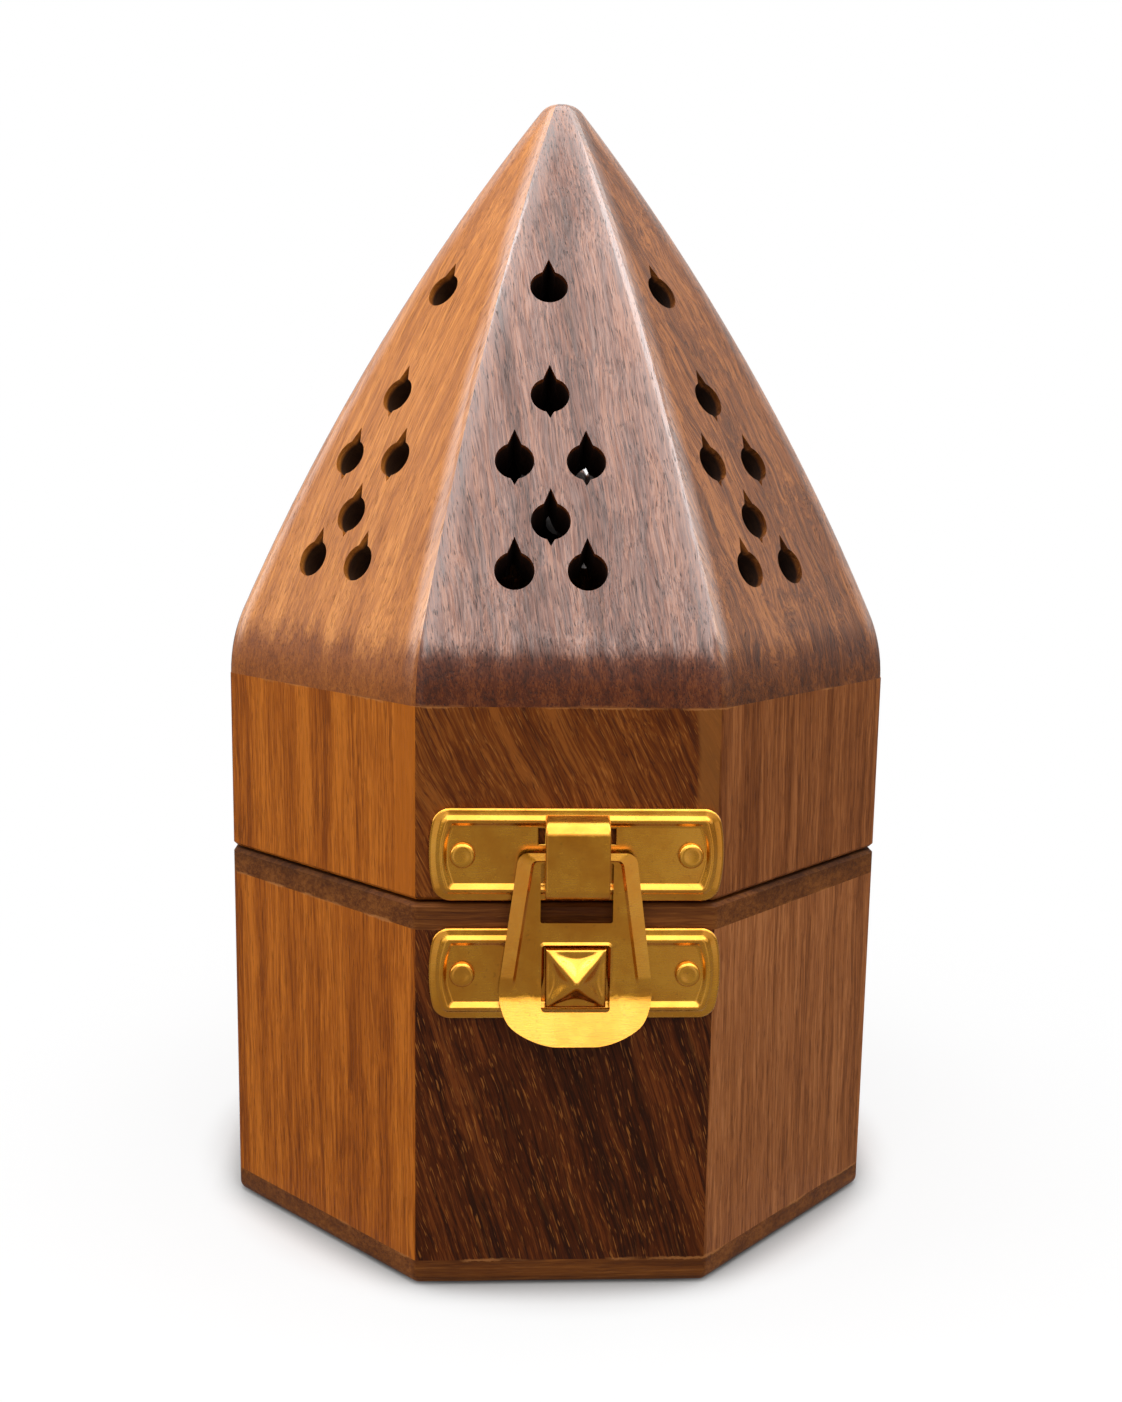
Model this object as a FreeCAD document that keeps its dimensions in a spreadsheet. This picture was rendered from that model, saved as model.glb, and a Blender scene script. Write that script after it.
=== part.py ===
import FreeCAD, Part
import math
import os
import re

import Sketcher

# Octagonal wooden incense burner: a mitred box with a metal charcoal dish under a
# rim board, and a hinged lid whose pierced spire lets the smoke out. A brass hasp
# holds the lid shut. +Z is up, the front faces -Y, and the origin is the centre of
# the underside. Sizes are millimetres and degrees.
SIZES = {
    # wooden case
    "across_flats": 88.9,     # octagon, flat to flat
    "base_board": 3.4,        # thickness of the bottom board
    "box_height": 50.3,       # table to the top of the rim board
    "rim_board": 3.3,         # thickness of the rim board
    "wall": 6.5,              # thickness of the box and lid walls
    "corner_ease": 1.2,       # rounding of the upright corners
    "foot_ease": 1.3,         # rounding under the base board
    "seam_bevel": 0.45,       # bevel along the lid seam
    "lid_gap": 0.4,           # clearance between box and closed lid
    "band_height": 23.9,      # upright part of the lid
    # spire
    "cap_height": 77.8,       # roof line to tip
    "shoulder_radius": 22.5,  # curve where the upright wall turns into the flank
    "flank_radius": 320.0,    # long shallow curve of the flank
    "tip_flat": 2.0,          # half width of the tip before it is rounded
    "ridge_ease": 2.4,        # rounding of the eight ridges
    "tip_ease": 3.4,          # rounding of the tip
    "hollow_knee": 4.5,       # height above the roof line where the hollow slopes in
    "hollow_top": 2.0,        # half width of the hollow at its top
    "tip_solid": 9.0,         # solid wood above the hollow
    # smoke vents, the same seven in each roof stave
    "vent_bore": 4.9,         # diameter
    "vent_peak": 4.4,         # centre of a vent to its pointed top
    "vent_toe": 3.3,          # centre of a vent to its lower notch, where it has one
    "vent_notch": 3.6,        # width of the knife notch at the vent's centre
    "vent_spread": 8.9,       # between the two vents of a pair
    "vent_shift": 2.2,        # the pattern sits this far left of the stave's middle
    "vent_tilt": 29.0,        # lean of the flank from upright
    "vent_row_1": 16.3,       # rows, measured up the flank from its foot
    "vent_row_2": 22.8,
    "vent_row_3": 30.8,
    "vent_row_4": 40.1,
    "vent_row_5": 56.3,
    # charcoal dish
    "dish_radius": 29.0,      # bowl where it passes the rim board
    "dish_floor": 22.0,       # radius of the flat floor
    "dish_depth": 9.0,
    "dish_sheet": 0.8,
    "dish_flange": 4.4,       # width of the flange on the rim board
    "dish_fit": 0.3,          # clearance in the rim board's opening
    "dish_bend": 1.6,         # bevel inside, where the bowl's floor turns up
    # latch plates
    "latch_offset": 1.2,      # the latch is nailed on right of the middle
    "plate_lift": 0.1,        # upper plate above the lid's lower edge
    "latch_drop": 15.0,       # between the middles of the two plates
    "plate_sheet": 0.7,
    "plate_width": 36.2,
    "plate_height": 11.6,
    "plate_bow": 16.0,        # radius of the bowed short ends
    "plate_corner": 2.2,
    "bead_inset": 1.2,        # plate edge to raised bead
    "bead_width": 1.5,
    "bead_height": 0.6,
    "bead_bevel": 0.45,
    # strap of the upper plate, folded over the hasp's bar
    "strap_width": 7.8,
    "strap_rise": 4.3,        # bar to the fold at the strap's root
    "strap_crown": 2.1,       # bar to the upper bend
    "strap_foot": 6.0,        # bar to the curled end
    "strap_slot": 0.8,        # open slot beside the strap
    "strap_bend": 0.6,
    # hasp
    "pivot_reach": 2.05,      # wall to the middle of the bar
    "bar_radius": 0.8,
    "bar_fit": 0.1,           # running clearance of the bar under the strap
    "bar_play": 0.2,          # bare round bar past each side of the strap
    "hasp_sheet": 0.9,
    "hasp_top": 14.2,
    "hasp_width": 19.0,
    "hasp_drop": 22.4,        # bar to the lowest edge
    "hasp_hip": 16.9,         # bar to the widest place
    "hasp_rim": 1.5,          # raised border round the sunk panel
    "hasp_sink": 0.35,        # depth of the panel
    "lip_start": 19.6,        # bar to the start of the finger lip
    "lip_reach": 2.4,         # how far the lip stands out
    "window_width": 8.8,
    "window_drop": 8.1,
    # catch knob
    "catch_fit": 0.5,         # clearance of the hasp's hole round the knob
    "knob_width": 7.4,
    "knob_skirt": 2.6,        # wall to the foot of the pyramid
    "knob_peak": 2.3,         # height of the pyramid
    "knob_waist": 4.0,        # width at half its height
    "knob_tip": 1.0,
    "knob_stem": 2.4,         # diameter
    "knob_ease": 0.45,        # rounding of its upright corners
    # round-headed brass pins
    "pin_spacing": 27.7,
    "pin_head": 3.1,
    "pin_flat": 1.9,          # diameter of the head's flat top
    "pin_rise": 0.95,         # height of the head
    "pin_shank": 1.3,
    "pin_depth": 4.5,         # in the wood
    # rear hinge
    "hinge_width": 26.0,
    "leaf_height": 9.5,
    "leaf_sheet": 0.9,
    "leaf_corner": 1.5,
    "knuckle_radius": 1.9,
    "knuckle_gap": 0.2,
    "hinge_pin": 1.7,         # diameter
    "hinge_fit": 0.05,        # running clearance round the hinge pin
    "nail_spacing": 16.0,
    "nail_drop": 5.9,         # hinge axis to the row of nails
    "nail_head": 2.4,
    "nail_flat": 1.4,
    "nail_rise": 0.6,
    "nail_shank": 1.2,
    "nail_depth": 4.0,
}

# Sizes that follow from the driving ones
DERIVED = {
    "half_flats": "across_flats / 2",
    "inner_flats": "half_flats - wall",
    "lid_bottom": "box_height + lid_gap",
    "roof_line": "lid_bottom + band_height",
    "total_height": "roof_line + cap_height",
    "upper_plate": "lid_bottom + plate_lift + plate_height / 2",
    "lower_plate": "upper_plate - latch_drop",
    "hinge_axis": "box_height + lid_gap / 2",
    "knuckle": "hinge_width / 5",
    "bar_front": "pivot_reach + bar_radius + bar_fit",
    "bead_top": "plate_sheet + bead_height",
    "hollow_height": "cap_height - tip_solid",
    "hole_half": "knob_width / 2 + catch_fit",
    "dish_pin_circle": "dish_radius + dish_flange / 2",
}

FACETS = 8
STEP = 360 / FACETS
SIDES = ["front", "front_right", "right", "rear_right", "rear", "rear_left", "left", "front_left"]
FACING_FRONT = FreeCAD.Rotation(FreeCAD.Vector(1, 0, 0), 90)
FACING_REAR = FreeCAD.Rotation(FreeCAD.Vector(0, 0, 1), 180) * FACING_FRONT
FACING_UP = FreeCAD.Rotation()
DISH_PINS = 3
KNUCKLES_BOX = (-2, 0, 2)
KNUCKLES_LID = (-1, 1)
TINY = 1e-4

doc = FreeCAD.newDocument("incense_burner")
sheet = doc.addObject("Spreadsheet::Sheet", "Sizes")
for row, (alias, number) in enumerate(SIZES.items(), 1):
    sheet.set(f"A{row}", alias)
    sheet.set(f"B{row}", str(number))
    sheet.setAlias(f"B{row}", alias)
doc.recompute()


# Sizes by name

def cells(text):
    """Turn plain size names into references to the sheet."""
    def swap(match):
        word = match.group()
        if word in DERIVED:
            return "(" + cells(DERIVED[word]) + ")"
        if word in SIZES:
            return "Sizes." + word
        return word
    return re.sub(r"[a-z][a-z_0-9]*", swap, text)


def value(text):
    return float(sheet.evalExpression(cells(text)))


def bind(thing, name, text):
    thing.setExpression(name, cells(text))


# Sketches

def new_body(label, facing=FACING_UP, x="0", y="0", z="0"):
    body = doc.addObject("PartDesign::Body", label)
    body.Placement = FreeCAD.Placement(FreeCAD.Vector(), facing)
    for axis, place in zip("xyz", (x, y, z)):
        bind(body, f"Placement.Base.{axis}", place)
    return body


def origin_part(body, role):
    return next(part for part in body.Origin.OriginFeatures if part.Role == role)


def new_sketch(body, role, lift="0", along="0", lean=None):
    """A sketch on one of the body's own planes, lifted off it, slid along it or leaned back."""
    sketch = body.newObject("Sketcher::SketchObject", "Sketch")
    sketch.AttachmentSupport = [(origin_part(body, role), "")]
    sketch.MapMode = "FlatFace"
    if lean:
        tip_back = FreeCAD.Rotation(FreeCAD.Vector(1, 0, 0), -value(lean))
        sketch.AttachmentOffset = FreeCAD.Placement(FreeCAD.Vector(), tip_back)
        bind(sketch, "AttachmentOffset.Rotation.Angle", f"-{lean}")
    bind(sketch, "AttachmentOffset.Base.z", lift)
    bind(sketch, "AttachmentOffset.Base.x", along)
    return sketch


def hold(sketch, geometry, point, x, y):
    """Dimension one point of the sketch from its origin."""
    for kind, axis, text in (("DistanceX", -2, x), ("DistanceY", -1, y)):
        if text == "0":
            sketch.addConstraint(Sketcher.Constraint("PointOnObject", geometry, point, axis))
        else:
            index = sketch.addConstraint(
                Sketcher.Constraint(kind, -1, 1, geometry, point, value(text)))
            bind(sketch, f"Constraints[{index}]", text)


def measure(sketch, kind, geometry, text):
    index = sketch.addConstraint(Sketcher.Constraint(kind, geometry, value(text)))
    bind(sketch, f"Constraints[{index}]", text)


def bulge(start, end, radius):
    """An arc from start to end that bows to the right of the way it runs."""
    chord = end - start
    across = FreeCAD.Vector(chord.y, -chord.x, 0).normalize()
    sagitta = radius - math.sqrt(radius ** 2 - (chord.Length / 2) ** 2)
    return Part.Arc(start, (start + end) * 0.5 + across * sagitta, end)


def outline(sketch, points):
    """A closed loop, drawn anticlockwise; a third item is the radius of the arc that follows."""
    spots = [FreeCAD.Vector(value(point[0]), value(point[1]), 0) for point in points]
    first = sketch.GeometryCount
    count = len(points)
    for i, point in enumerate(points):
        start, end = spots[i], spots[(i + 1) % count]
        if len(point) == 3:
            sketch.addGeometry(bulge(start, end, value(point[2])))
        else:
            sketch.addGeometry(Part.LineSegment(start, end))
    for i in range(count):
        following = first + (i + 1) % count
        sketch.addConstraint(Sketcher.Constraint("Coincident", first + i, 2, following, 1))
    for i, point in enumerate(points):
        hold(sketch, first + i, 1, point[0], point[1])
        if len(point) == 3:
            measure(sketch, "Radius", first + i, point[2])
    return sketch


def rectangle(sketch, left, bottom, right, top):
    return outline(sketch, [(left, bottom), (right, bottom), (right, top), (left, top)])


def circle(sketch, x, y, diameter):
    centre = FreeCAD.Vector(value(x), value(y), 0)
    geometry = sketch.addGeometry(
        Part.Circle(centre, FreeCAD.Vector(0, 0, 1), value(diameter) / 2))
    hold(sketch, geometry, 3, x, y)
    measure(sketch, "Diameter", geometry, diameter)
    return sketch


def octagon(sketch, flats):
    """A regular octagon, one flat to the front, from its half width over flats."""
    reach = f"{flats} / cos({STEP / 2} deg)"
    corners = [STEP * (i + 0.5) for i in range(FACETS)]
    return outline(sketch, [(f"{reach} * cos({a} deg)", f"{reach} * sin({a} deg)") for a in corners])


# Solid features

def extrude(body, kind, sketch, length=None, both_ways=False, turned=False):
    feature = body.newObject("PartDesign::" + kind, kind)
    feature.Profile = sketch
    feature.SideType = "Symmetric" if both_ways else "One side"
    feature.Reversed = turned
    if length:
        bind(feature, "Length", length)
    else:
        feature.Type = "ThroughAll"
    return feature


def pad(body, sketch, length, **way):
    return extrude(body, "Pad", sketch, length, **way)


def pocket(body, sketch, length=None, **way):
    """Cut a profile, and make sure that it took wood or metal away."""
    doc.recompute()
    before = body.Shape.Volume
    feature = extrude(body, "Pocket", sketch, length, **way)
    doc.recompute()
    if body.Shape.Volume > before - TINY:
        raise RuntimeError(f"a cut in {body.Label} removes nothing")
    return feature


def revolve(body, sketch):
    feature = body.newObject("PartDesign::Revolution", "Revolution")
    feature.Profile = sketch
    feature.ReferenceAxis = (sketch, ["V_Axis"])
    return feature


def loft(body, sketches):
    feature = body.newObject("PartDesign::AdditiveLoft", "Loft")
    feature.Profile = sketches[0]
    feature.Sections = sketches[1:]
    return feature


def polar(body, originals, count):
    feature = body.newObject("PartDesign::PolarPattern", "Polar")
    feature.Originals = originals
    feature.Axis = (origin_part(body, "Z_Axis"), [""])
    feature.Angle = 360
    feature.Occurrences = count
    body.Tip = feature
    return feature


def pair(body, originals, spacing):
    feature = body.newObject("PartDesign::LinearPattern", "Pair")
    feature.Originals = originals
    feature.Direction = (origin_part(body, "X_Axis"), [""])
    bind(feature, "Length", spacing)
    feature.Occurrences = 2
    body.Tip = feature
    return feature


def dress(body, kind, feature, measure_name, size, chosen):
    """Treat the edges that the test picks out."""
    doc.recompute()
    names = [f"Edge{i}" for i, edge in enumerate(feature.Shape.Edges, 1) if chosen(edge)]
    dressed = body.newObject("PartDesign::" + kind, kind)
    dressed.Base = (feature, names)
    bind(dressed, measure_name, size)
    return dressed


def ease(body, feature, radius, chosen):
    return dress(body, "Fillet", feature, "Radius", radius, chosen)


def bevel(body, feature, size, chosen):
    return dress(body, "Chamfer", feature, "Size", size, chosen)


# Tests that pick out edges

def ends(edge):
    return edge.Vertexes[0].Point, edge.Vertexes[-1].Point


def level(edge, height):
    return all(abs(vertex.Z - height) < TINY for vertex in edge.Vertexes)


def upright(edge):
    low, high = ends(edge)
    return math.hypot(high.x - low.x, high.y - low.y) < TINY < abs(high.z - low.z)


def outer_upright(edge):
    low = ends(edge)[0]
    return upright(edge) and math.hypot(low.x, low.y) > value("half_flats")


def outer_level(edge, height):
    low, high = ends(edge)
    reach = min(math.hypot(low.x, low.y), math.hypot(high.x, high.y))
    return level(edge, height) and reach > value("half_flats") - TINY


def ridge(edge):
    low, high = ends(edge)
    if abs(low.z - high.z) < TINY:
        return False
    turns = [math.degrees(math.atan2(point.y, point.x)) for point in (low, high)]
    return abs(turns[0] - turns[1]) < 0.01 and abs(turns[0] % STEP - STEP / 2) < 0.01


# Wooden case

def octagonal_block(label, bottom, thickness):
    body = new_body(label)
    block = pad(body, octagon(new_sketch(body, "XY_Plane", bottom), "half_flats"), thickness)
    return body, ease(body, block, "corner_ease", outer_upright)


def base_board():
    body, block = octagonal_block("base_board", "0", "base_board")
    ease(body, block, "foot_ease", lambda edge: outer_level(edge, 0))
    return body


def rim_board():
    body, block = octagonal_block("box_rim", "box_height - rim_board", "rim_board")
    top = value("box_height")
    bevel(body, block, "seam_bevel", lambda edge: outer_level(edge, top))
    opening = new_sketch(body, "XY_Plane", "box_height")
    pocket(body, circle(opening, "0", "0", "2 * (dish_radius + dish_fit)"))
    hole = new_sketch(body, "XY_Plane", "box_height")
    drilled = pocket(body, circle(hole, "dish_pin_circle", "0", "pin_shank"))
    polar(body, [drilled], DISH_PINS)
    return body


def pilot_holes(body, height, spacing, shank, depth, rear=False):
    """Two holes for pins in the front or the rear wall."""
    face = new_sketch(body, "XZ_Plane", "-half_flats" if rear else "half_flats")
    middle = "0" if rear else "latch_offset"
    for side in ("-", "+"):
        circle(face, f"{middle} {side} {spacing} / 2", height, shank)
    pocket(body, face, depth, turned=rear)


def box_shell():
    body, _ = octagonal_block("box_shell", "base_board", "box_height - rim_board - base_board")
    inside = new_sketch(body, "XY_Plane", "box_height - rim_board")
    pocket(body, octagon(inside, "inner_flats"))
    pilot_holes(body, "lower_plate", "pin_spacing", "pin_shank", "pin_depth")
    pilot_holes(body, "hinge_axis - nail_drop", "nail_spacing", "nail_shank", "nail_depth", rear=True)
    stem = new_sketch(body, "XZ_Plane", "half_flats")
    pocket(body, circle(stem, "latch_offset", "lower_plate", "knob_stem"), "pin_depth")
    return body


def lid_shell():
    body, block = octagonal_block("lid_shell", "lid_bottom", "band_height")
    bottom = value("lid_bottom")
    bevel(body, block, "seam_bevel", lambda edge: outer_level(edge, bottom))
    inside = new_sketch(body, "XY_Plane", "roof_line")
    pocket(body, octagon(inside, "inner_flats"))
    pilot_holes(body, "upper_plate", "pin_spacing", "pin_shank", "pin_depth")
    pilot_holes(body, "hinge_axis + nail_drop", "nail_spacing", "nail_shank", "nail_depth", rear=True)
    return body


# Spire

def flank_waste(body):
    """The wood outside one flank: a shoulder arc that runs smoothly into the long flank arc."""
    foot, top = value("half_flats"), value("cap_height")
    tip, small, large = value("tip_flat"), value("shoulder_radius"), value("flank_radius")
    outside = "across_flats"
    shoulder_centre = FreeCAD.Vector(foot - small, 0, 0)
    to_tip = FreeCAD.Vector(tip, top, 0) - shoulder_centre
    along = ((large - small) ** 2 - large ** 2 + to_tip.Length ** 2) / (2 * to_tip.Length)
    aside = math.sqrt((large - small) ** 2 - along ** 2)
    way = to_tip / to_tip.Length
    flank_centre = shoulder_centre + way * along + FreeCAD.Vector(-way.y, way.x, 0) * aside
    outward = (shoulder_centre - flank_centre).normalize()
    joint = math.atan2(outward.y, outward.x)
    end = math.asin((top - flank_centre.y) / large)

    sketch = new_sketch(body, "XZ_Plane")
    up = FreeCAD.Vector(0, 0, 1)
    sketch.addGeometry(Part.ArcOfCircle(Part.Circle(shoulder_centre, up, small), 0, joint))
    sketch.addGeometry(Part.ArcOfCircle(Part.Circle(flank_centre, up, large), joint, end))
    corners = [("tip_flat", "cap_height"), (outside, "cap_height"), (outside, "0"), ("half_flats", "0")]
    spots = [FreeCAD.Vector(value(x), value(y), 0) for x, y in corners]
    for start, finish in zip(spots, spots[1:]):
        sketch.addGeometry(Part.LineSegment(start, finish))
    sketch.addConstraint(Sketcher.Constraint("Tangent", 0, 2, 1, 1))
    for before, after in ((1, 2), (2, 3), (3, 4)):
        sketch.addConstraint(Sketcher.Constraint("Coincident", before, 2, after, 1))
    sketch.addConstraint(Sketcher.Constraint("Coincident", 4, 2, 0, 1))
    sketch.addConstraint(Sketcher.Constraint("PointOnObject", 0, 3, -1))
    measure(sketch, "Radius", 0, "shoulder_radius")
    measure(sketch, "Radius", 1, "flank_radius")
    for geometry, (x, y) in zip((2, 3, 4), corners):
        hold(sketch, geometry, 1, x, y)
    hold(sketch, 4, 2, "half_flats", "0")
    return sketch


def vents(body):
    """Seven bored vents with knife-cut points, leaned square to one flank."""
    foot = "half_flats * sin(vent_tilt * 1 deg)"
    spots = []
    for row, paired, notched in ((1, True, False), (2, False, True), (3, True, True),
                                 (4, False, True), (5, False, False)):
        places = ("-vent_shift - vent_spread / 2", "-vent_shift + vent_spread / 2")
        for place in places if paired else ("-vent_shift",):
            spots.append((place, f"vent_row_{row} - {foot}", notched))
    bores = new_sketch(body, "XZ_Plane", lean="vent_tilt")
    for x, y, _ in spots:
        circle(bores, x, y, "vent_bore")
    bored = pocket(body, bores, turned=True)
    notches = new_sketch(body, "XZ_Plane", lean="vent_tilt")
    for x, y, notched in spots:
        toe = "vent_toe" if notched else "vent_bore / 4"
        outline(notches, [(x, f"{y} - {toe}"), (f"{x} + vent_notch / 2", y),
                          (x, f"{y} + vent_peak"), (f"{x} - vent_notch / 2", y)])
    notched = pocket(body, notches, turned=True)
    polar(body, [bored, notched], FACETS)


def smoke_chamber():
    """The hollow in the spire: upright to the knee, then eight flat slopes up to a small flat top."""
    body = new_body("smoke_chamber")
    pad(body, octagon(new_sketch(body, "XY_Plane"), "inner_flats"), "hollow_height")
    slope = outline(new_sketch(body, "XZ_Plane"), [
        ("inner_flats", "hollow_knee"), ("across_flats", "hollow_knee"),
        ("across_flats", "hollow_height"), ("hollow_top", "hollow_height")])
    polar(body, [pocket(body, slope, both_ways=True)], FACETS)
    return body


def cap_shell():
    body = new_body("cap_shell", z="roof_line")
    pad(body, octagon(new_sketch(body, "XY_Plane"), "half_flats"), "cap_height")
    shaped = polar(body, [pocket(body, flank_waste(body), both_ways=True)], FACETS)
    ridged = ease(body, shaped, "ridge_ease", ridge)
    top = value("cap_height")
    ease(body, ridged, "tip_ease", lambda edge: level(edge, top))
    hollow = body.newObject("PartDesign::Boolean", "Hollow")
    hollow.setObjects([smoke_chamber()])
    hollow.Type = "Cut"
    vents(body)
    return body


def sector(index):
    """The eighth of the octagon that one stave fills, mitred to its neighbours."""
    wedge = doc.addObject("Part::Cylinder", "sector_" + SIDES[index])
    bind(wedge, "Radius", "across_flats")
    bind(wedge, "Height", "total_height + wall")
    wedge.Angle = STEP
    turn = FreeCAD.Rotation(FreeCAD.Vector(0, 0, 1), -90 + STEP * (index - 0.5))
    wedge.Placement = FreeCAD.Placement(FreeCAD.Vector(), turn)
    return wedge


def staves(shell, prefix, wedges):
    """Split a shell into its eight mitred staves."""
    pieces = []
    for side, wedge in zip(SIDES, wedges):
        stave = doc.addObject("Part::Common", f"{prefix}_{side}")
        stave.Base = shell
        stave.Tool = wedge
        pieces.append(stave)
    return pieces


# Charcoal dish and pins

def charcoal_dish():
    body = new_body("charcoal_dish", z="box_height")
    profile = outline(new_sketch(body, "XZ_Plane"), [
        ("0", "-dish_depth"), ("dish_floor", "-dish_depth"), ("dish_radius", "0"),
        ("dish_radius + dish_flange", "0"), ("dish_radius + dish_flange", "dish_sheet"),
        ("dish_radius - dish_sheet", "dish_sheet"),
        ("dish_floor - dish_sheet / 2", "dish_sheet - dish_depth"), ("0", "dish_sheet - dish_depth")])
    bowl = revolve(body, profile)
    floor = value("dish_sheet - dish_depth")
    bevel(body, bowl, "dish_bend", lambda edge: level(edge, floor))
    hole = new_sketch(body, "XY_Plane", "dish_sheet")
    drilled = pocket(body, circle(hole, "dish_pin_circle", "0", "pin_shank"))
    polar(body, [drilled], DISH_PINS)
    return body


def round_pin(body, kind, below, along="0"):
    """A round shank under a flat-topped round head; the head's underside is at the body's origin."""
    head, flat, rise, shank = (f"{kind}_{part}" for part in ("head", "flat", "rise", "shank"))
    profile = outline(new_sketch(body, "XZ_Plane", along=along), [
        ("0", f"-({below})"), (f"{shank} / 2", f"-({below})"), (f"{shank} / 2", "0"),
        (f"{head} / 2", "0"), (f"{head} / 2", f"{rise} / 3"), (f"{flat} / 2", rise), ("0", rise)])
    return revolve(body, profile)


def dish_pins():
    body = new_body("dish_pins", z="box_height + dish_sheet")
    pin = round_pin(body, "pin", "dish_sheet + rim_board", "dish_pin_circle")
    polar(body, [pin], DISH_PINS)
    return body


def plate_pins(label, height):
    body = new_body(label, FACING_FRONT, "latch_offset - pin_spacing / 2",
                    "-half_flats - plate_sheet", height)
    pair(body, [round_pin(body, "pin", "plate_sheet + pin_depth")], "pin_spacing")
    return body


def hinge_nails(label, height):
    body = new_body(label, FACING_REAR, "nail_spacing / 2", "half_flats + leaf_sheet", height)
    pair(body, [round_pin(body, "nail", "leaf_sheet + nail_depth")], "nail_spacing")
    return body


# Latch

def barrel(sketch, inset="0"):
    """A plate outline with straight long sides and bowed short ends, drawn in from the edge."""
    tall = f"(plate_height / 2 - {inset})"
    bow = f"(plate_bow - {inset})"
    wide = f"(plate_width / 2 - {inset} - {bow} + sqrt({bow} ^ 2 - {tall} ^ 2))"
    return outline(sketch, [(f"-{wide}", f"-{tall}"), (wide, f"-{tall}", bow),
                            (wide, tall), (f"-{wide}", tall, bow)])


def latch_plate(label, height):
    """A pressed brass plate with a raised bead inside its edge and two pin holes."""
    body = new_body(label, FACING_FRONT, "latch_offset", "-half_flats", height)
    plate = pad(body, barrel(new_sketch(body, "XY_Plane")), "plate_sheet")
    ease(body, plate, "plate_corner", upright)
    ring = barrel(new_sketch(body, "XY_Plane", "plate_sheet"), "bead_inset")
    barrel(ring, "(bead_inset + bead_width)")
    bead = pad(body, ring, "bead_height")
    face = value("plate_sheet")
    rounded = ease(body, bead, "plate_corner - bead_inset",
                   lambda edge: upright(edge) and min(v.Z for v in edge.Vertexes) > face - TINY)
    top = value("bead_top")
    bevel(body, rounded, "bead_bevel", lambda edge: level(edge, top))
    holes = new_sketch(body, "XY_Plane", "bead_top")
    for side in ("-", ""):
        circle(holes, f"{side}pin_spacing / 2", "0", "pin_shank")
    pocket(body, holes)
    return body


def upper_plate():
    """The lid's plate: a tongue is slit free and folded down over the hasp's bar."""
    body = latch_plate("latch_upper_plate", "upper_plate")
    half = "(strap_width / 2 + strap_slot)"
    slot = new_sketch(body, "XY_Plane", "bead_top")
    pocket(body, rectangle(slot, f"-{half}", "-strap_rise", half, "strap_rise"))
    front = "(bar_front + plate_sheet)"
    side = new_sketch(body, "YZ_Plane")
    strap = pad(body, outline(side, [
        ("strap_rise + plate_sheet", "0"), ("strap_rise + plate_sheet", "plate_sheet"),
        ("strap_crown + plate_sheet / 2", front), ("-strap_foot + plate_sheet", front),
        ("-strap_foot", "bead_top + plate_sheet"), ("-strap_foot + plate_sheet", "bead_top + plate_sheet / 2"),
        ("-strap_foot + 2 * plate_sheet", "bar_front"), ("strap_crown", "bar_front"),
        ("strap_rise - plate_sheet / 2", "0")]), "strap_width", both_ways=True)
    bends = (value("strap_crown + plate_sheet / 2"), value("-strap_foot + plate_sheet"))
    reach = value(front)

    def outer_bend(edge):
        return level(edge, reach) and any(
            all(abs(vertex.Y - bend) < TINY for vertex in edge.Vertexes) for bend in bends)
    ease(body, strap, "strap_bend", outer_bend)
    return body


def lower_plate():
    body = latch_plate("latch_lower_plate", "lower_plate")
    pocket(body, circle(new_sketch(body, "XY_Plane", "bead_top"), "0", "0", "knob_stem"))
    return body


def catch_knob():
    """A square stud that rises to a pinched pyramid; it sits on the lower plate's bead, on a riveted stem."""
    body = new_body("catch_knob", FACING_FRONT, "latch_offset", "-half_flats", "lower_plate")

    def square(width, height):
        half = f"{width} / 2"
        return rectangle(new_sketch(body, "XY_Plane", height), f"-{half}", f"-{half}", half, half)

    skirt = pad(body, square("knob_width", "bead_top"), "knob_skirt - bead_top")
    ease(body, skirt, "knob_ease", upright)
    loft(body, [square("(knob_width - 2 * knob_ease)", "knob_skirt"),
                square("knob_waist", "knob_skirt + knob_peak / 2"),
                square("knob_tip", "knob_skirt + knob_peak")])
    stem = circle(new_sketch(body, "XY_Plane", "bead_top"), "0", "0", "knob_stem")
    pad(body, stem, "bead_top + pin_depth", turned=True)
    return body


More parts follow.
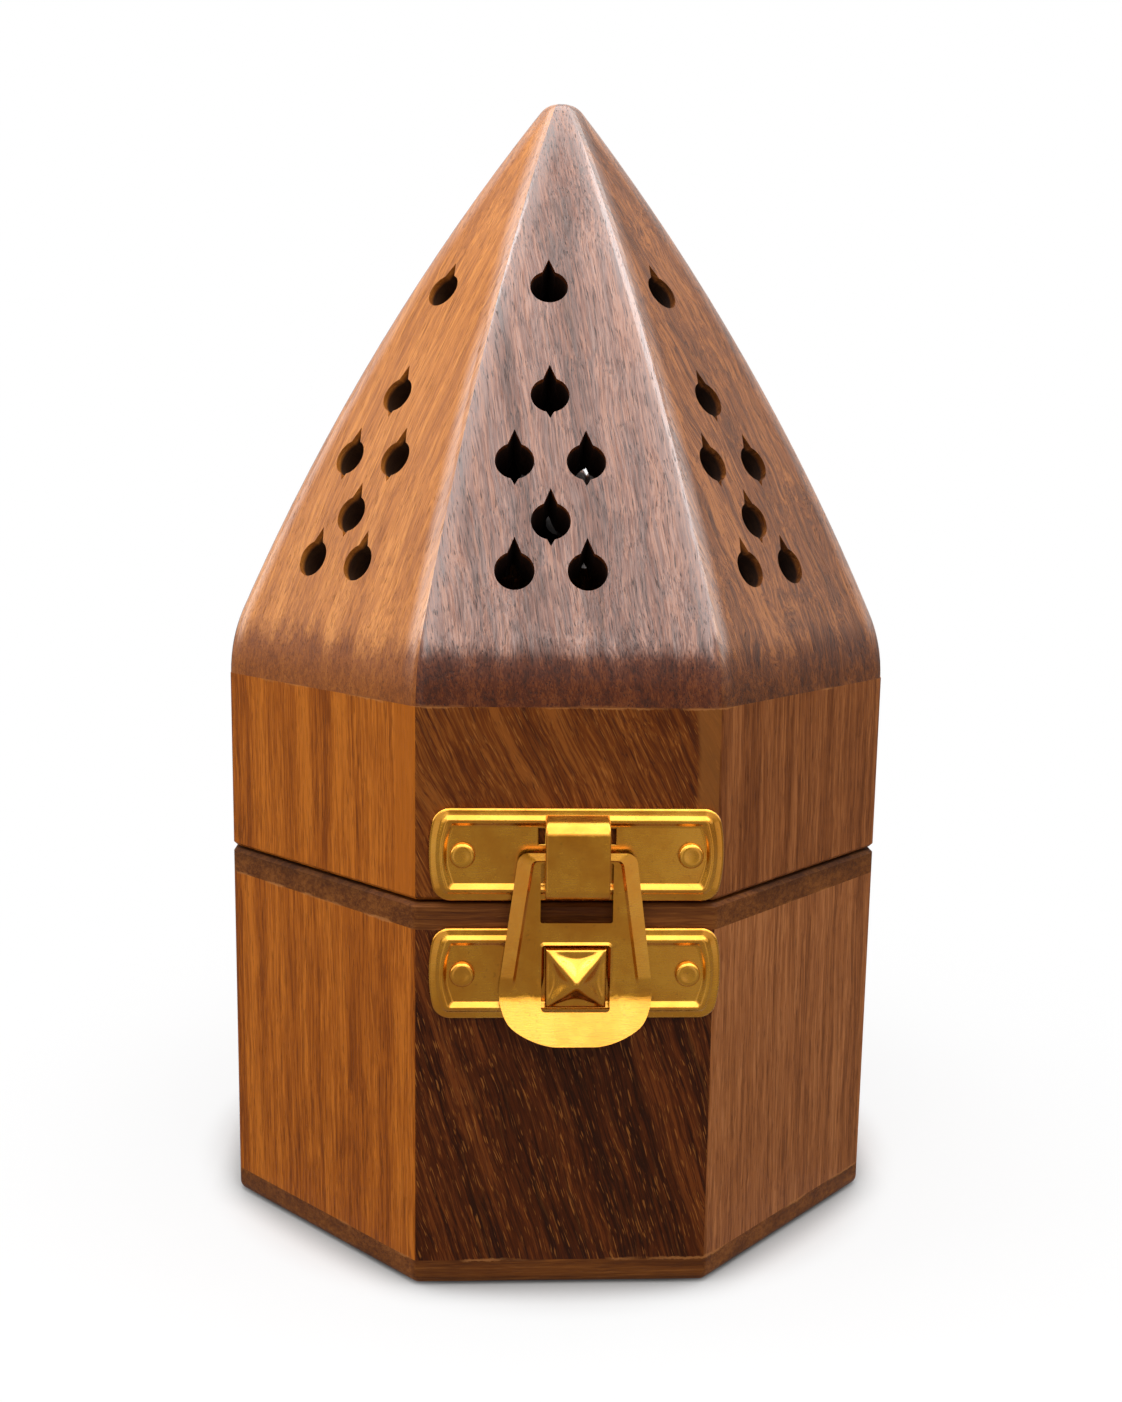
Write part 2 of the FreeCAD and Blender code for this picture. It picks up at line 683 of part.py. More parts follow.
def hasp():
    """The swinging plate: a round bar under the strap, a window, a sunk panel and a finger lip."""
    body = new_body("hasp", FACING_FRONT, "latch_offset", "-half_flats - pivot_reach", "upper_plate")
    half = "hasp_sheet / 2"
    side = new_sketch(body, "YZ_Plane")
    strip = pad(body, outline(side, [
        ("bar_radius", f"-{half}"), ("bar_radius", half), ("-lip_start", half),
        ("-hasp_drop", "lip_reach"), ("-hasp_drop - hasp_sheet / 2", "lip_reach - hasp_sheet"),
        ("-lip_start - hasp_sheet / 2", f"-{half}")]), "hasp_width + wall", both_ways=True)
    bend = value("-lip_start")
    ease(body, strip, "strap_bend", lambda edge: all(abs(v.Y - bend) < TINY for v in edge.Vertexes))

    chord = "hasp_width / 2"
    sagitta = "(hasp_drop + hasp_sheet / 2 - hasp_hip)"
    waste = new_sketch(body, "XY_Plane")
    rectangle(waste, "-across_flats", "-across_flats", "across_flats", "across_flats")
    outline(waste, [
        ("hasp_top / 2", "bar_radius"), ("-hasp_top / 2", "bar_radius"),
        (f"-{chord}", "-hasp_hip", f"(({chord}) ^ 2 + {sagitta} ^ 2) / (2 * {sagitta})"),
        (chord, "-hasp_hip")])
    pocket(body, waste, both_ways=True)

    taper = "(hasp_width - hasp_top) / 2 / (hasp_hip + bar_radius)"
    narrow = f"(hasp_top / 2 + 2 * bar_radius * {taper} - hasp_rim)"
    broad = f"({chord} - hasp_rim)"
    panel = new_sketch(body, "XY_Plane", half)
    outline(panel, [(narrow, "-bar_radius"), (f"-{narrow}", "-bar_radius"),
                    (f"-{broad}", "-hasp_hip"), (broad, "-hasp_hip")])
    pocket(body, panel, "hasp_sink")
    holes = new_sketch(body, "XY_Plane", half)
    open_half, bar_half = "window_width / 2", "(strap_width / 2 + bar_play)"
    outline(holes, [
        (f"-{open_half}", "-window_drop"), (open_half, "-window_drop"), (open_half, "-bar_radius"),
        (bar_half, "-bar_radius"), (bar_half, "2 * bar_radius"), (f"-{bar_half}", "2 * bar_radius"),
        (f"-{bar_half}", "-bar_radius"), (f"-{open_half}", "-bar_radius")])
    rectangle(holes, "-hole_half", "-latch_drop - hole_half", "hole_half", "-latch_drop + hole_half")
    pocket(body, holes)
    bar = circle(new_sketch(body, "YZ_Plane"), "0", "0", "2 * bar_radius")
    pad(body, bar, "window_width + hasp_rim", both_ways=True)
    return body


# Rear hinge

def hinge_leaf(label, way, own, other):
    """One leaf of a butt hinge; way is -1 for the leaf on the box and +1 for the lid's."""
    body = new_body(label, FACING_REAR, "0", "half_flats", "hinge_axis")
    half = "hinge_width / 2"
    edges = sorted([f"{way} * knuckle_gap", f"{way} * leaf_height"], key=value)
    plate = pad(body, rectangle(new_sketch(body, "XY_Plane"), f"-{half}", edges[0], half, edges[1]),
                "leaf_sheet")
    outer = value(f"{way} * leaf_height")
    ease(body, plate, "leaf_corner",
         lambda edge: upright(edge) and abs(ends(edge)[0].y - outer) < TINY)
    for place in other:
        notch = new_sketch(body, "YZ_Plane", f"{place} * knuckle")
        circle(notch, "0", "knuckle_radius", "2 * (knuckle_radius + knuckle_gap)")
        pocket(body, notch, "knuckle + knuckle_gap", both_ways=True)
    for place in own:
        barrel_end = new_sketch(body, "YZ_Plane", f"{place} * knuckle")
        circle(barrel_end, "0", "knuckle_radius", "2 * knuckle_radius")
        pad(body, barrel_end, "knuckle - knuckle_gap", both_ways=True)
    bore = new_sketch(body, "YZ_Plane")
    pocket(body, circle(bore, "0", "knuckle_radius", "hinge_pin + 2 * hinge_fit"), both_ways=True)
    holes = new_sketch(body, "XY_Plane", "leaf_sheet")
    for side in ("-", ""):
        circle(holes, f"{side}nail_spacing / 2", f"{way} * nail_drop", "nail_shank")
    pocket(body, holes)
    return body


def hinge_pin():
    pin = doc.addObject("Part::Cylinder", "hinge_pin")
    bind(pin, "Radius", "hinge_pin / 2")
    bind(pin, "Height", "hinge_width")
    pin.Placement = FreeCAD.Placement(
        FreeCAD.Vector(), FreeCAD.Rotation(FreeCAD.Vector(0, 1, 0), 90))
    for axis, place in (("x", "-hinge_width / 2"), ("y", "half_flats + knuckle_radius"),
                        ("z", "hinge_axis")):
        bind(pin, f"Placement.Base.{axis}", place)
    return pin


wedges = [sector(index) for index in range(FACETS)]
nodes = [base_board(), rim_board(), charcoal_dish(), dish_pins()]
nodes += staves(box_shell(), "box_wall", wedges)
nodes += staves(lid_shell(), "lid_wall", wedges)
nodes += staves(cap_shell(), "roof_stave", wedges)
nodes += [upper_plate(), plate_pins("upper_plate_pins", "upper_plate")]
nodes += [lower_plate(), plate_pins("lower_plate_pins", "lower_plate"), catch_knob(), hasp()]
nodes += [hinge_leaf("hinge_box_leaf", -1, KNUCKLES_BOX, KNUCKLES_LID),
          hinge_leaf("hinge_lid_leaf", 1, KNUCKLES_LID, KNUCKLES_BOX), hinge_pin(),
          hinge_nails("hinge_box_nails", "hinge_axis - nail_drop"),
          hinge_nails("hinge_lid_nails", "hinge_axis + nail_drop")]
doc.recompute()

for item in doc.Objects:
    if "Invalid" in item.State or "Error" in item.State:
        raise RuntimeError(f"{item.Label} failed: {item.State}")
for node in nodes:
    if node.Shape.isNull() or not node.Shape.isValid() or not node.Shape.Solids:
        raise RuntimeError(f"{node.Label} has no sound solid")

os.makedirs("parts", exist_ok=True)
for node in nodes:
    node.Shape.exportStep(f"parts/{node.Label}.step")
    print(node.Label, len(node.Shape.Solids), "solids", round(node.Shape.Volume, 1), "mm3")
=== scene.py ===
import math
from collections import namedtuple

import bmesh
import bpy
from mathutils import Matrix, Vector


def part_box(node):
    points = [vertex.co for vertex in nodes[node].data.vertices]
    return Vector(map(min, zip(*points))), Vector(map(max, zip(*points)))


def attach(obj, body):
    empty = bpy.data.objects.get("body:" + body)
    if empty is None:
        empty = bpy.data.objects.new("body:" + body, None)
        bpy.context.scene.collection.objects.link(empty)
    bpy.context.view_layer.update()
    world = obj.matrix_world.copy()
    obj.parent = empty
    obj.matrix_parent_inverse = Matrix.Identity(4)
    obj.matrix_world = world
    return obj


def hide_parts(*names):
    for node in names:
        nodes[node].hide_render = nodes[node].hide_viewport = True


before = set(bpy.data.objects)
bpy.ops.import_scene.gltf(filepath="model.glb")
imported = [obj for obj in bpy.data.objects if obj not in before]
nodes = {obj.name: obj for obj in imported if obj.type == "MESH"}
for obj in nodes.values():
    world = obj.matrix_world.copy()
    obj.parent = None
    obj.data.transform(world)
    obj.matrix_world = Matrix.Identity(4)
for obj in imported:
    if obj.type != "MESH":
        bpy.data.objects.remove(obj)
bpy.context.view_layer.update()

# Wooden incense burner with a pierced spire lid and a pressed brass latch.
# Metres, +Z up, the latch faces -Y. The woods, the brass and the latch are given in millimetres.
MM = 0.001
SIDES = ["front", "front_right", "right", "rear_right", "rear", "rear_left", "left", "front_left"]
SIDE_TURN = math.radians(360 / len(SIDES))
QUARTER_TURN = math.radians(90)

base_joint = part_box("base_board")[1].z
rim_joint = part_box("box_rim")[0].z
roof_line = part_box("roof_stave_front")[0].z


# Shader expressions

class Socket:
    """A shader output that takes Python operators; each one adds a Math node."""

    def __init__(self, shader, output):
        self.shader = shader
        self.output = output

    def math(self, operation, *values):
        return self.shader.node("ShaderNodeMath", {"operation": operation}, dict(enumerate(values)))

    def __add__(self, other):
        return self.math("ADD", self, other)

    def __radd__(self, other):
        return self.math("ADD", other, self)

    def __sub__(self, other):
        return self.math("SUBTRACT", self, other)

    def __rsub__(self, other):
        return self.math("SUBTRACT", other, self)

    def __mul__(self, other):
        return self.math("MULTIPLY", self, other)

    def __rmul__(self, other):
        return self.math("MULTIPLY", other, self)

    def __abs__(self):
        return self.math("ABSOLUTE", self)

    def between(self, low, high):
        """0 below low, 1 above high, smooth between."""
        settings = {"interpolation_type": "SMOOTHSTEP"}
        return self.shader.node("ShaderNodeMapRange", settings,
                                {"Value": self, "From Min": low, "From Max": high})


class Shader:
    """A node tree under construction."""

    def __init__(self, tree):
        self.tree = tree
        self.tree.nodes.clear()

    def node(self, kind, settings=None, sockets=None, out=0):
        """Add a node, set it up, fill or link its sockets, and return one of its outputs."""
        node = self.tree.nodes.new(kind)
        for name, setting in (settings or {}).items():
            setattr(node, name, setting)
        for name, value in (sockets or {}).items():
            if isinstance(value, Socket):
                self.tree.links.new(value.output, node.inputs[name])
            else:
                node.inputs[name].default_value = value
        return Socket(self, node.outputs[out]) if node.outputs else node

    def mix(self, factor, first, second, blend="MIX"):
        factor_in, first_in, second_in, colour_out = 0, 6, 7, 2
        return self.node("ShaderNodeMix", {"data_type": "RGBA", "blend_type": blend},
                         {factor_in: factor, first_in: first, second_in: second}, colour_out)

    def vector(self, operation, first, second):
        return self.node("ShaderNodeVectorMath", {"operation": operation}, {0: first, 1: second})

    def distance(self, first, second=(0, 0, 0)):
        value_out = 1
        return self.node("ShaderNodeVectorMath", {"operation": "DISTANCE"},
                         {0: first, 1: second}, value_out)

    def noise(self, place, stretch, detail=2.0, roughness=0.5, distortion=0.0, out="Fac"):
        """Noise from about 0 to 1, stretched along each axis of the place given."""
        return self.node("ShaderNodeTexNoise", None, {
            "Vector": self.vector("MULTIPLY", place, stretch), "Scale": 1.0, "Detail": detail,
            "Roughness": roughness, "Distortion": distortion}, out)

    def bump(self, height, depth, strength):
        return self.node("ShaderNodeBump", None,
                         {"Height": height, "Distance": depth, "Strength": strength})

    def object_place(self):
        """Object coordinates in millimetres."""
        place = self.node("ShaderNodeTexCoord", out="Object")
        return self.vector("MULTIPLY", place, (1 / MM,) * 3)

    def turned(self, place, turn, shift=(0, 0, 0)):
        return self.node("ShaderNodeMapping", None, {"Vector": place, "Rotation": turn, "Location": shift})

    def axis(self, place, name):
        return self.node("ShaderNodeSeparateXYZ", None, {0: place}, name)

    def emission(self, light):
        return self.node("ShaderNodeEmission", None, {"Color": light, "Strength": 1.0})

    def finish(self, surface):
        self.node("ShaderNodeOutputMaterial", None, {"Surface": surface})

    def surface(self, **sockets):
        """The material's Principled surface, by its sockets' names with _ for spaces."""
        named = {name.replace("_", " "): value for name, value in sockets.items()}
        self.finish(self.node("ShaderNodeBsdfPrincipled", None, named))


def new_shader(name):
    material = bpy.data.materials.new(name)
    material.use_nodes = True
    return material, Shader(material.node_tree)


def colour(red, green, blue):
    """A colour picked on a screen, 0 to 255, as linear light."""
    def linear(part):
        part = part / 255
        return part / 12.92 if part <= 0.04045 else ((part + 0.055) / 1.055) ** 2.4
    return (linear(red), linear(green), linear(blue), 1.0)


# Woods: three tones, how far lines, pores, flecks and figure show, the grain's slant in degrees, roughness

Wood = namedtuple("Wood", "dark middle light lines pores flecks figure slant roughness")
TAN = Wood(colour(160, 92, 32), colour(186, 112, 42), colour(208, 132, 56),
           lines=0.25, pores=0.35, flecks=0.0, figure=0.2, slant=-3, roughness=0.44)
PLUM = Wood(colour(80, 36, 11), colour(116, 56, 19), colour(150, 82, 34),
            lines=0.45, pores=0.75, flecks=0.1, figure=0.35, slant=7, roughness=0.38)
AMBER = Wood(colour(86, 44, 12), colour(126, 70, 28), colour(168, 102, 48),
             lines=0.5, pores=0.5, flecks=0.3, figure=1.0, slant=6, roughness=0.42)
ORANGE = Wood(colour(128, 61, 3), colour(164, 86, 12), colour(192, 108, 26),
              lines=0.35, pores=0.35, flecks=0.1, figure=0.2, slant=1, roughness=0.46)
CHOCOLATE = Wood(colour(44, 14, 0), colour(76, 30, 1), colour(112, 54, 12),
                 lines=0.4, pores=0.5, flecks=0.9, figure=0.3, slant=17, roughness=0.44)
UMBER = Wood(colour(76, 30, 0), colour(108, 51, 5), colour(140, 76, 20),
             lines=0.35, pores=0.5, flecks=0.8, figure=0.45, slant=26, roughness=0.44)
RUSSET = Wood(colour(104, 52, 15), colour(136, 76, 33), colour(162, 98, 50),
              lines=0.35, pores=0.35, flecks=0.15, figure=0.25, slant=1, roughness=0.46)
CHESTNUT = Wood(colour(118, 64, 26), colour(152, 89, 44), colour(178, 112, 62),
                lines=0.35, pores=0.35, flecks=0.15, figure=0.25, slant=1, roughness=0.46)
BOARD = Wood(colour(84, 42, 9), colour(106, 57, 17), colour(130, 75, 27),
             lines=0.2, pores=0.2, flecks=0.0, figure=0.2, slant=0, roughness=0.52)
BLACK_PORE = colour(30, 13, 5)
GOLD_FLECK = colour(172, 104, 40)
FILLER = colour(184, 120, 64)
# Painted shade for the insides of the vents and of the lid
PAINTED_HOLLOW_SHADE = colour(20, 11, 7)
# Painted shade: multiplies the colour of the roof staves' upright shoulders below the flank
PAINTED_SHOULDER_SHADE = (0.56, 0.46, 0.33, 1)

# Layers of the grain: noise per millimetre across and along it, its detail, and the span of it that shows
Layer = namedtuple("Layer", "across along detail roughness distortion low high")
BANDS = Layer(0.3, 0.01, 3.0, 0.55, 0.0, 0.3, 0.7)
STREAKS = Layer(1.7, 0.045, 4.0, 0.6, 0.0, 0.3, 0.7)
FIBRES = Layer(5.0, 0.17, 3.0, 0.65, 0.0, 0.3, 0.7)
DARK_LINES = Layer(1.3, 0.02, 2.0, 0.5, 0.4, 0.57, 0.67)
PORES = Layer(8.0, 0.36, 1.0, 0.5, 0.0, 0.6, 0.7)
FLECKS = Layer(5.2, 0.42, 1.0, 0.5, 0.0, 0.61, 0.73)
GOLDEN_FIGURE = Layer(2.4, 0.07, 3.0, 0.6, 0.3, 0.55, 0.68)
BAND_SHARE, STREAK_SHARE, FIBRE_SHARE = 0.32, 0.36, 0.32
DARK_TO_MIDDLE = (0.22, 0.5)
MIDDLE_TO_LIGHT = (0.5, 0.76)
GOLDEN_SHARE = 0.45
FLECK_SHARE = 0.7
SWAY_STRETCH = (0.16, 0.16, 0.07)
SWAY_REACH = 5.0
SEED_STEPS = (31, 17, 53)

# Sapwood stripes and the filler along the joints
STRIPE_EDGE = 0.8
STRIPE_SHARE = 0.75
FILLER_SPAN = (0.05, 0.26)
FILLER_WANDER = 0.9
RAGGED_STRETCH = (0.55, 0.55, 0.9)
PATCH_STRETCH = (0.12, 0.12, 0.12)
PATCH_SPAN = (0.46, 0.6)
FILLER_SHARE = 0.6

# The flank's long arc, in the upright plane through a stave's middle: distance from the axis, height
FLANK_LEAN = math.radians(29)
FLANK_RADIUS = 320.0
FLANK_CENTRE = (-251.2, -43.3)
SHOULDER_TOP = 86.0
# Painted shade on the shoulders: heights over which it fades out upwards, and how far the bands make its
# edge waver
SHOULDER_SHADE_BAND = (SHOULDER_TOP - 5.5, SHOULDER_TOP - 1)
SHOULDER_SHADE_WAVER = 2
INNER_FLATS = 37.95

# Painted shade in the vents and the hollows: depths under the flank, heights where it starts and ends, and
# how deep it sits in an inner face
HOLLOW_SHADE_DEPTHS = (0.45, 1.1)
HOLLOW_SHADE_OVER_SHOULDER = (SHOULDER_TOP - 1, SHOULDER_TOP)
SOLID_TIP = (142, 144)
LID_FOOT = (48, 52)
HOLLOW_SHADE_SKIN = 0.6
HOLLOW_SHADE_EDGE = 0.5
HOLLOW_SHADE_SHARE = 0.92

# Polish and relief
RIDGE_BAND = (-2.8, -0.6)
RIDGE_POLISH = 0.8
LEAST_BAND_POLISH, LEAST_FIBRE_POLISH = 0.55, 0.4
PORE_DULLING = 0.6
# Polish is dulled where the shoulders' shade is painted
SHOULDER_DULLING = 0.85
ROOF_SHINE, WALL_SHINE = 0.22, 0.12
POLISH_ROUGHNESS = 0.17
POLISH_IOR = 1.85
FIBRE_ROUGHNESS, PORE_ROUGHNESS, HOLLOW_SHADE_ROUGHNESS = 0.08, 0.2, 0.3
FIBRE_RELIEF, PORE_RELIEF, UNEVEN_RELIEF = 0.02, 0.06, 0.4
UNEVEN_STRETCH = (0.075, 0.075, 0.075)
RELIEF_STRENGTH = 0.6


def grain_place(shader, facing, kind, lean, lay, seed):
    """Millimetres with Z along the grain, swaying as much as the wood is figured."""
    shift = tuple(seed * step for step in SEED_STEPS)
    grain = shader.turned(facing, (lean, math.radians(kind.slant) + lay, 0), shift)
    sway = shader.vector("SUBTRACT", shader.noise(grain, SWAY_STRETCH, out="Color"), (0.5, 0.5, 0.5))
    reach = SWAY_REACH * kind.figure
    return shader.vector("ADD", grain, shader.vector("MULTIPLY", sway, (reach, reach, reach)))


def grain_layer(shader, grain, layer):
    """1 where a layer of the grain shows fully."""
    pattern = shader.noise(grain, (layer.across, layer.across, layer.along), layer.detail,
                           layer.roughness, layer.distortion)
    return pattern.between(layer.low, layer.high)


def add_stripe(shader, board, facing, bands, stripe):
    """Sapwood between two places across the board, with edges that wander as the bands do."""
    low, high, sapwood = stripe
    across = shader.axis(facing, "X") + (bands - 0.5) * STRIPE_EDGE
    inside = across.between(low, low + STRIPE_EDGE) * (1 - across.between(high, high + STRIPE_EDGE))
    return shader.mix(inside * STRIPE_SHARE, board, sapwood)


def add_filler(shader, board, here, joint):
    """Ragged filler here and there along a level joint."""
    ragged = shader.noise(here, RAGGED_STRETCH, 3.0, 0.75)
    off = abs(shader.axis(here, "Z") - joint / MM + (ragged - 0.5) * FILLER_WANDER)
    patches = shader.noise(here, PATCH_STRETCH).between(*PATCH_SPAN)
    seam = (1 - off.between(*FILLER_SPAN)) * patches
    return shader.mix(seam * FILLER_SHARE, board, FILLER)


def roof_hollow_shade(shader, facing, height):
    """Painted shade in the vents and the hollow of the spire, by the depth under the flank's arc."""
    upright = shader.vector("MULTIPLY", facing, (0, 1, 1))
    depth = FLANK_RADIUS - shader.distance(upright, (0, -FLANK_CENTRE[0], FLANK_CENTRE[1]))
    hollow_shade = depth.between(*HOLLOW_SHADE_DEPTHS) * height.between(*HOLLOW_SHADE_OVER_SHOULDER)
    return hollow_shade * (1 - height.between(*SOLID_TIP))


def wall_hollow_shade(shader, facing, height):
    """Painted shade on the inner faces of the lid's walls."""
    inward = shader.axis(facing, "Y") + INNER_FLATS + HOLLOW_SHADE_SKIN
    return inward.between(0, HOLLOW_SHADE_EDGE) * height.between(*LID_FOOT)


def roof_polish(shader, facing, coat, bands, fibres):
    """Uneven polish on the flanks, nearly full along the ridges."""
    half_width = shader.axis(facing, "Y") * -math.tan(SIDE_TURN / 2)
    ridge = (abs(shader.axis(facing, "X")) - half_width).between(*RIDGE_BAND) * RIDGE_POLISH
    by_bands = LEAST_BAND_POLISH + (1 - LEAST_BAND_POLISH) * bands
    by_fibres = LEAST_FIBRE_POLISH + (1 - LEAST_FIBRE_POLISH) * fibres
    return coat * by_bands * by_fibres * (1 - ridge) + ridge


def wood(name, kind, turn, seed, filler, lean=0.0, lay=0.0, coat=0.0, stripe=None):
    """Sawn rosewood: the grain runs up the stave, or across it with a lay of a quarter turn."""
    material, shader = new_shader(name)
    here = shader.object_place()
    height = shader.axis(here, "Z")
    facing = shader.turned(here, (0, 0, -turn))
    grain = grain_place(shader, facing, kind, lean, lay, seed)
    bands, streaks, fibres, lines, golden, flecks, pores = [
        grain_layer(shader, grain, layer)
        for layer in (BANDS, STREAKS, FIBRES, DARK_LINES, GOLDEN_FIGURE, FLECKS, PORES)]

    tone = bands * BAND_SHARE + streaks * STREAK_SHARE + fibres * FIBRE_SHARE
    board = shader.mix(tone.between(*DARK_TO_MIDDLE), kind.dark, kind.middle)
    board = shader.mix(tone.between(*MIDDLE_TO_LIGHT), board, kind.light)
    board = shader.mix(lines * kind.lines, board, kind.dark)
    board = shader.mix(golden * (GOLDEN_SHARE * kind.figure), board, GOLD_FLECK)
    board = shader.mix(flecks * (FLECK_SHARE * kind.flecks), board, GOLD_FLECK)
    board = shader.mix(pores * kind.pores, board, BLACK_PORE)
    if stripe:
        board = add_stripe(shader, board, facing, bands, stripe)
    for joint in filler:
        board = add_filler(shader, board, here, joint)

    if lean:
        hollow_shade = roof_hollow_shade(shader, facing, height)
        # Painted shade: the upright shoulders under the flank are darkened and their polish dulled
        shoulder_shade = 1 - (height + bands * SHOULDER_SHADE_WAVER + fibres).between(*SHOULDER_SHADE_BAND)
        board = shader.mix(shoulder_shade, board, PAINTED_SHOULDER_SHADE, "MULTIPLY")
        polish = roof_polish(shader, facing, coat, bands, fibres) * (1 - hollow_shade)
        polish = polish * (1 - pores * PORE_DULLING) * (1 - shoulder_shade * SHOULDER_DULLING)
        shine = ROOF_SHINE
    else:
        hollow_shade = wall_hollow_shade(shader, facing, height)
        polish = 0.0
        shine = WALL_SHINE
    # Painted shade darkens the vents and the lid's inside
    board = shader.mix(hollow_shade * HOLLOW_SHADE_SHARE, board, PAINTED_HOLLOW_SHADE)

    unevenness = shader.noise(here, UNEVEN_STRETCH)
    relief = fibres * FIBRE_RELIEF - pores * PORE_RELIEF + unevenness * UNEVEN_RELIEF
    roughness = kind.roughness + (fibres - 0.5) * FIBRE_ROUGHNESS + pores * PORE_ROUGHNESS
    roughness = roughness + hollow_shade * HOLLOW_SHADE_ROUGHNESS
    shader.surface(Base_Color=board, Roughness=roughness, Specular_IOR_Level=shine,
                   Coat_Weight=polish, Coat_Roughness=POLISH_ROUGHNESS, Coat_IOR=POLISH_IOR,
                   Normal=shader.bump(relief, MM, RELIEF_STRENGTH))
    return material


def finish_node(name, material):
    for slot in nodes[name].material_slots:
        slot.material = material


# The staves' woods and polish, in the order of the sides
ROOF_WOODS = [PLUM, AMBER, TAN, AMBER, PLUM, TAN, AMBER, TAN]
ROOF_POLISH = [1.0, 0.12, 0.1, 0.12, 0.8, 0.1, 0.12, 0.1]
LID_WOODS = [UMBER, RUSSET, ORANGE, UMBER, RUSSET, ORANGE, RUSSET, ORANGE]
BOX_WOODS = [CHOCOLATE, CHESTNUT, ORANGE, CHOCOLATE, ORANGE, CHESTNUT, UMBER, ORANGE]
SAPWOOD_STRIPES = {
    "front_left": (14.6, 19.0, colour(178, 96, 16)),
    "front": (15.2, 19.0, colour(140, 84, 32)),
}
ROOF_SEED, LID_SEED, BOX_SEED, BASE_SEED, RIM_SEED = 1, 11, 21, 31, 32


def dress_staves():
    for index, side in enumerate(SIDES):
        turn = index * SIDE_TURN
        roof = wood(f"roof wood {side}", ROOF_WOODS[index], turn, seed=ROOF_SEED + index,
                    filler=(roof_line,), lean=FLANK_LEAN, coat=ROOF_POLISH[index])
        finish_node(f"roof_stave_{side}", roof)
        lid = wood(f"lid wood {side}", LID_WOODS[index], turn, seed=LID_SEED + index,
                   filler=(roof_line,), stripe=SAPWOOD_STRIPES.get(side))
        finish_node(f"lid_wall_{side}", lid)
        box = wood(f"box wood {side}", BOX_WOODS[index], turn, seed=BOX_SEED + index,
                   filler=(base_joint, rim_joint))
        finish_node(f"box_wall_{side}", box)


def dress_boards():
    base = wood("base board wood", BOARD, 0, seed=BASE_SEED, filler=(base_joint,), lay=QUARTER_TURN)
    finish_node("base_board", base)
    rim = wood("rim board wood", BOARD, 0, seed=RIM_SEED, filler=(rim_joint,), lay=QUARTER_TURN)
    finish_node("box_rim", rim)


# Brass

TARNISH = colour(96, 52, 10)
TARNISH_SHARE = 0.25
CLOUD_STRETCH = (0.16, 0.16, 0.16)
CLOUD_SPAN = (0.3, 0.7)
SCRATCH_STRETCH = (0.7, 6.0, 5.0)
SPOT_STRETCH = (1.9, 1.9, 1.9)
SPOT_SPAN = (0.64, 0.76)
CLOUD_ROUGHNESS, SCRATCH_ROUGHNESS = 0.07, 0.12
CLOUD_RELIEF = 2.0
LACQUER = 0.7
LACQUER_ROUGHNESS = 0.15
DENT_DEPTH = 0.02
DENT_STRENGTH = 0.35


def brass(name, base, worn, roughness):
    """Pressed brass under old lacquer: cloudy tarnish, fine scratches and small dents."""
    material, shader = new_shader(name)
    here = shader.object_place()
    cloud = shader.noise(here, CLOUD_STRETCH, 4.0, 0.6).between(*CLOUD_SPAN)
    scratch = shader.noise(here, SCRATCH_STRETCH, 3.0, 0.65)
    spots = shader.noise(here, SPOT_STRETCH).between(*SPOT_SPAN)
    tint = shader.mix(cloud, base, worn)
    tint = shader.mix(spots * TARNISH_SHARE, tint, TARNISH)
    dulled = roughness + cloud * CLOUD_ROUGHNESS + (scratch - 0.5) * SCRATCH_ROUGHNESS
    dents = shader.bump(scratch + cloud * CLOUD_RELIEF, DENT_DEPTH * MM, DENT_STRENGTH)
    shader.surface(Base_Color=tint, Metallic=1.0, Roughness=dulled,
                   Coat_Weight=LACQUER, Coat_Roughness=LACQUER_ROUGHNESS, Normal=dents)
    return material


LATCH_NODES = ["latch_upper_plate", "upper_plate_pins", "latch_lower_plate", "lower_plate_pins",
               "catch_knob", "hasp"]
HINGE_NODES = ["hinge_box_leaf", "hinge_lid_leaf", "hinge_pin", "hinge_box_nails", "hinge_lid_nails"]
DISH_NODES = ["charcoal_dish", "dish_pins"]


def dress_metal():
    latch = brass("latch brass", colour(198, 129, 14), colour(210, 151, 42), 0.22)
    hinge = brass("hinge brass", colour(214, 156, 58), colour(226, 176, 86), 0.22)
    dish = brass("dish brass", colour(188, 146, 76), colour(160, 118, 62), 0.34)
    for names, material in ((LATCH_NODES, latch), (HINGE_NODES, hinge), (DISH_NODES, dish)):
        for name in names:
            finish_node(name, material)


# Pressed brass latch, drawn in millimetres on the wall: x right, y up, z out of the wall

# Plates: the bowed outline, the upright edge, and the bead as steps inwards and upwards
PLATE_HALF_WIDTH, PLATE_HALF_HEIGHT = 18.35, 5.8
PLATE_CORNER_REACH = 17.2
PLATE_CORNER, LEAST_CORNER = 1.8, 0.3
PLATE_BOW_SHARE = 0.6
PLATE_EDGE = 0.45
PLATE_BEAD = ((0.12, 0.16), (0.2, 0.09), (0.5, 0.02), (0.2, 0.14), (0.2, 0.2), (0.2, 0.1), (0.2, -0.02),
              (0.2, -0.14), (0.2, -0.2), (0.15, -0.14), (0.2, -0.05))
PLATE_SHEET = 0.3
PLATE_CORNER_CUTS = 6

# Strap and the slots beside its root: the path is heights on the plate and distances from the wall
STRAP_HALF_WIDTH = 3.9
STRAP_PATH = ((5.1, 0.8), (4.1, 3.3), (-4.9, 3.85), (-5.2, 1.6))
STRAP_BEND = 1.3
STRAP_SHEET = 0.5
STRAP_EDGE = 0.3
SLOT_WIDTH = 0.8
SLOT_FOOT, SLOT_TOP = 1.3, 3.3

